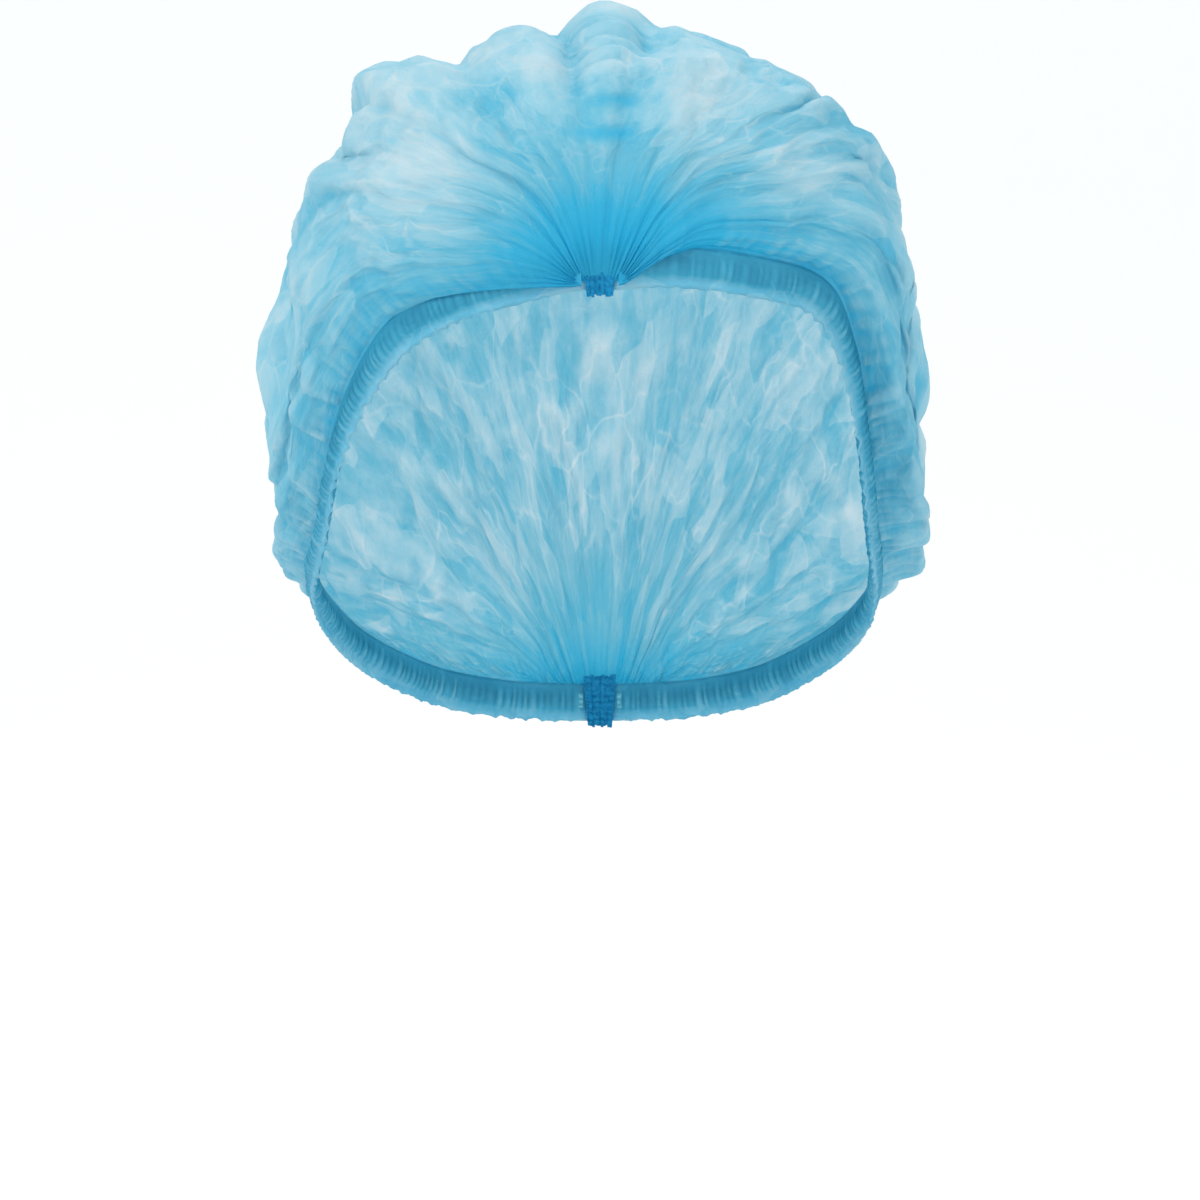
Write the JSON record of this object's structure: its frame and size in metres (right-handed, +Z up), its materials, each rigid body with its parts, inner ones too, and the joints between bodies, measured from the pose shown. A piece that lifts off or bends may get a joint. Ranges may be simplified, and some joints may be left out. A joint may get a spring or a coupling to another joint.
{
  "type": "disposable bouffant cap",
  "caption": "Disposable bouffant hair cap of pleated blue nonwoven cloth, gathered into a front and a nape weld, with an elastic in each hemmed edge, in its worn shape.",
  "frame": {"origin": "middle of the head opening, halfway between the front weld and the nape weld", "axes": "+Z up as the cap is worn, the face looks along -Y, +X on the right of someone who faces the wearer"},
  "size_m": [0.1872, 0.2117, 0.1991],
  "materials": {
    "nonwoven_cloth": "thin translucent spunbonded polypropylene, light blue",
    "nonwoven_hem": "folded spunbonded polypropylene, several layers, deeper blue",
    "elastic_band": "flat soft elastic, matt",
    "welded_cloth": "stacked cloth fused by ultrasonic welding, dark blue, slightly glossy"
  },
  "bodies": {
    "root": {"crown": "nonwoven_cloth", "hem_left": "nonwoven_hem", "hem_right": "nonwoven_hem", "elastic_left": "elastic_band", "elastic_right": "elastic_band", "weld_front": "welded_cloth", "weld_nape": "welded_cloth"}
  },
  "joints": []
}
